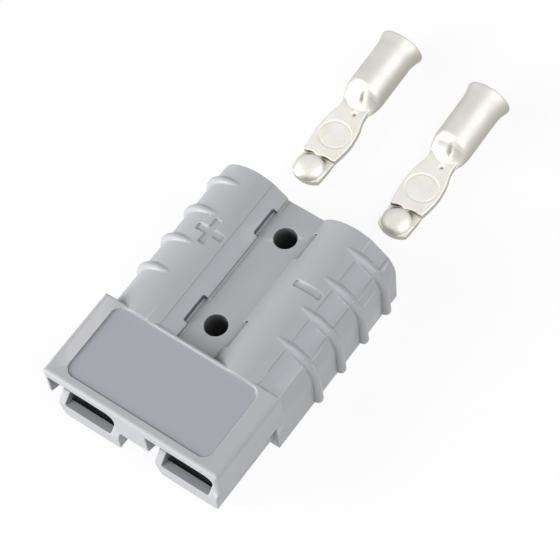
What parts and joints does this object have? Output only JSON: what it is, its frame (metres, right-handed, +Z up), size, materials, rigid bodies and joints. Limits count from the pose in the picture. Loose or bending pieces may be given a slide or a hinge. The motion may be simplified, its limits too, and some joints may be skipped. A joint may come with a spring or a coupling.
{
  "type": "genderless power connector",
  "caption": "Two-pole genderless power connector: moulded grey housing with hooded mating face, screw holes and ribbed wire barrels, leaf springs inside, and loose crimp contacts.",
  "frame": {"origin": "midway between the two mounting holes, on the seating face under the housing", "axes": "+Y from the mating face to the wire end, +Z up out of the seating face towards the label panel, +X to the negative pole's side"},
  "size_m": [0.0384, 0.0926, 0.0164],
  "materials": {
    "housing": "moulded grey polycarbonate, satin with a fine spark-eroded grain",
    "spring_steel": "rolled stainless spring strip",
    "contact_plate": "bright silver plate over copper alloy, faintly tarnished at the edges"
  },
  "bodies": {
    "root": {"housing": "housing", "spring_positive": "spring_steel", "spring_negative": "spring_steel", "contact_positive": "contact_plate", "contact_negative": "contact_plate"}
  },
  "joints": []
}
